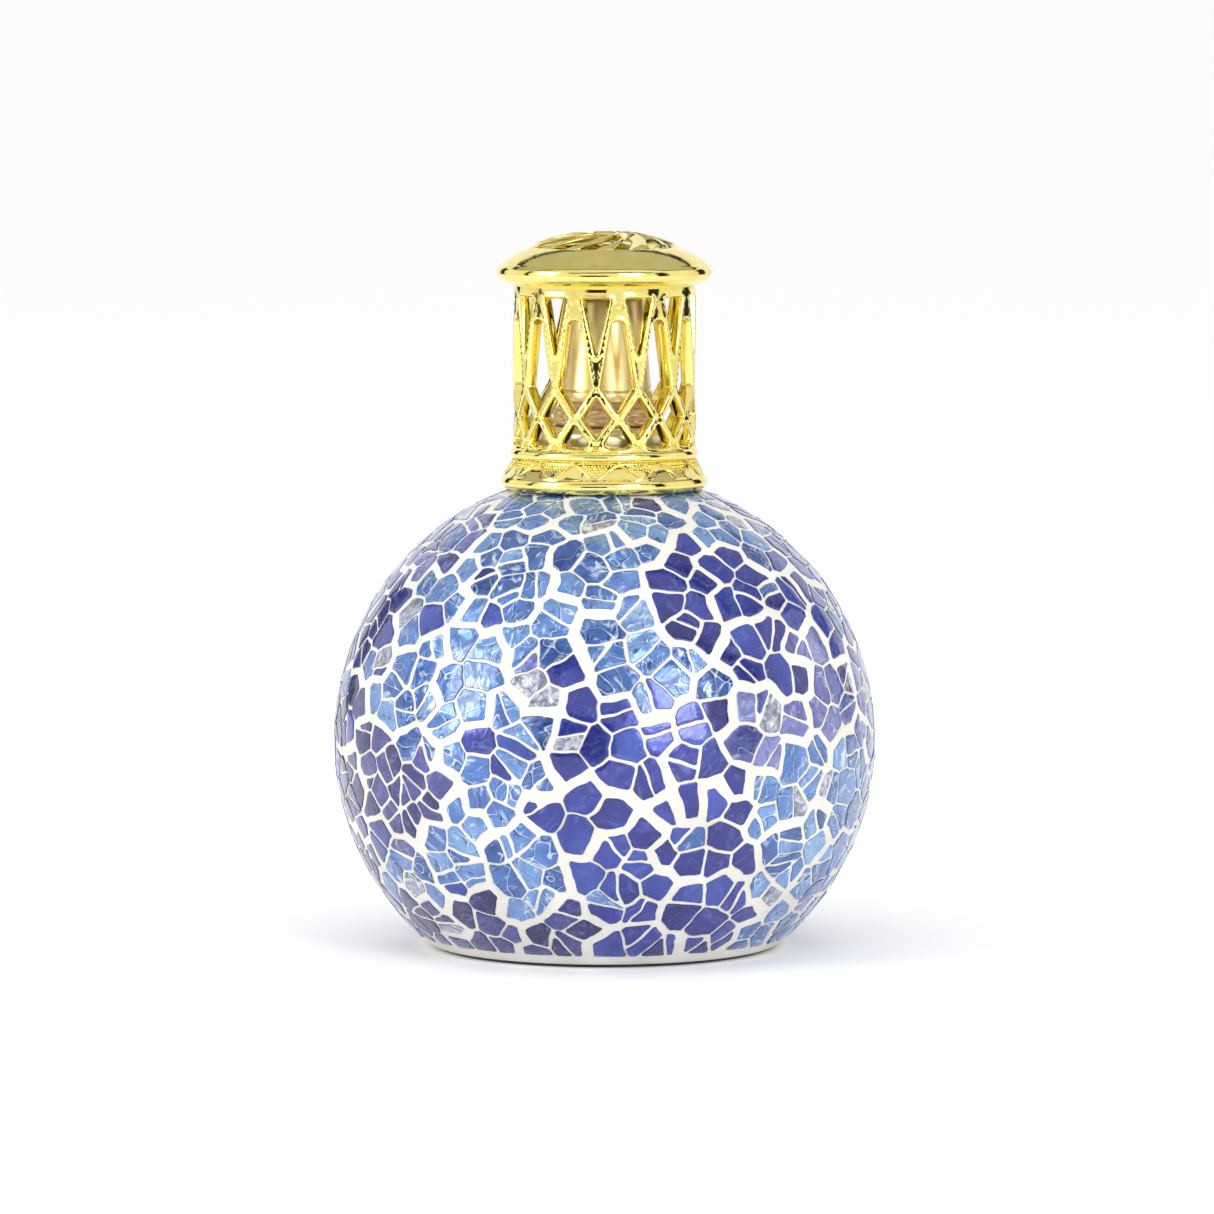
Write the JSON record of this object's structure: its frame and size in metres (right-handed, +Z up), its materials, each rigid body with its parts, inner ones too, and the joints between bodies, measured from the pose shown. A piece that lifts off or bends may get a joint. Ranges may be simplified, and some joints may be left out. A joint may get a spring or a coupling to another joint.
{
  "type": "catalytic fragrance lamp",
  "caption": "Round crackle-glass mosaic fragrance lamp with a catalytic burner, a snuffer cap and a pierced gilt crown that lifts off.",
  "frame": {"origin": "centre of the underside, on the surface that the lamp stands on", "axes": "+Z up along the lamp's axis, -Y towards the front"},
  "size_m": [0.09, 0.09, 0.1191],
  "materials": {
    "felt": "matte",
    "bottle_glass": "gloss",
    "grout": "matte",
    "glass_light_blue": "gloss",
    "glass_royal_blue": "gloss",
    "glass_violet": "gloss",
    "glass_navy": "gloss",
    "glass_clear": "gloss",
    "collar_metal": "satin",
    "cement": "matte",
    "burner_metal": "polished",
    "stone_ceramic": "matte",
    "cotton": "matte",
    "cap_metal": "satin",
    "seal": "matte",
    "crown_gold": "polished"
  },
  "bodies": {
    "lamp": {"base_pad": "felt", "glass_vessel": "bottle_glass", "grout_layer": "grout", "tiles_light_blue": "glass_light_blue", "tiles_royal_blue": "glass_royal_blue", "tiles_violet": "glass_violet", "tiles_navy": "glass_navy", "tiles_clear": "glass_clear", "neck_collar": "collar_metal", "collar_cement": "cement"},
    "crown": {"crown_cage": "crown_gold", "crown_dome": "crown_gold", "crown_rosette": "crown_gold"},
    "cap": {"snuffer_cap": "cap_metal", "cap_seal": "seal"},
    "burner": {"burner_mount": "burner_metal", "catalytic_stone": "stone_ceramic", "wick": "cotton"}
  },
  "joints": [
    {"name": "crown_lift", "type": "slide", "parent": "lamp", "child": "crown", "axis": [0, 0, 1], "range_m": [0, 0.24]},
    {"name": "cap_lift", "type": "slide", "parent": "lamp", "child": "cap", "axis": [0, 0, 1], "range_m": [0, 0.16]},
    {"name": "burner_lift", "type": "slide", "parent": "lamp", "child": "burner", "axis": [0, 0, 1], "range_m": [0, 0.12]}
  ],
  "couplings": [
    {"joint": "cap_lift", "follows": "crown_lift", "ratio": 0.65},
    {"joint": "burner_lift", "follows": "crown_lift", "ratio": 0.45}
  ]
}
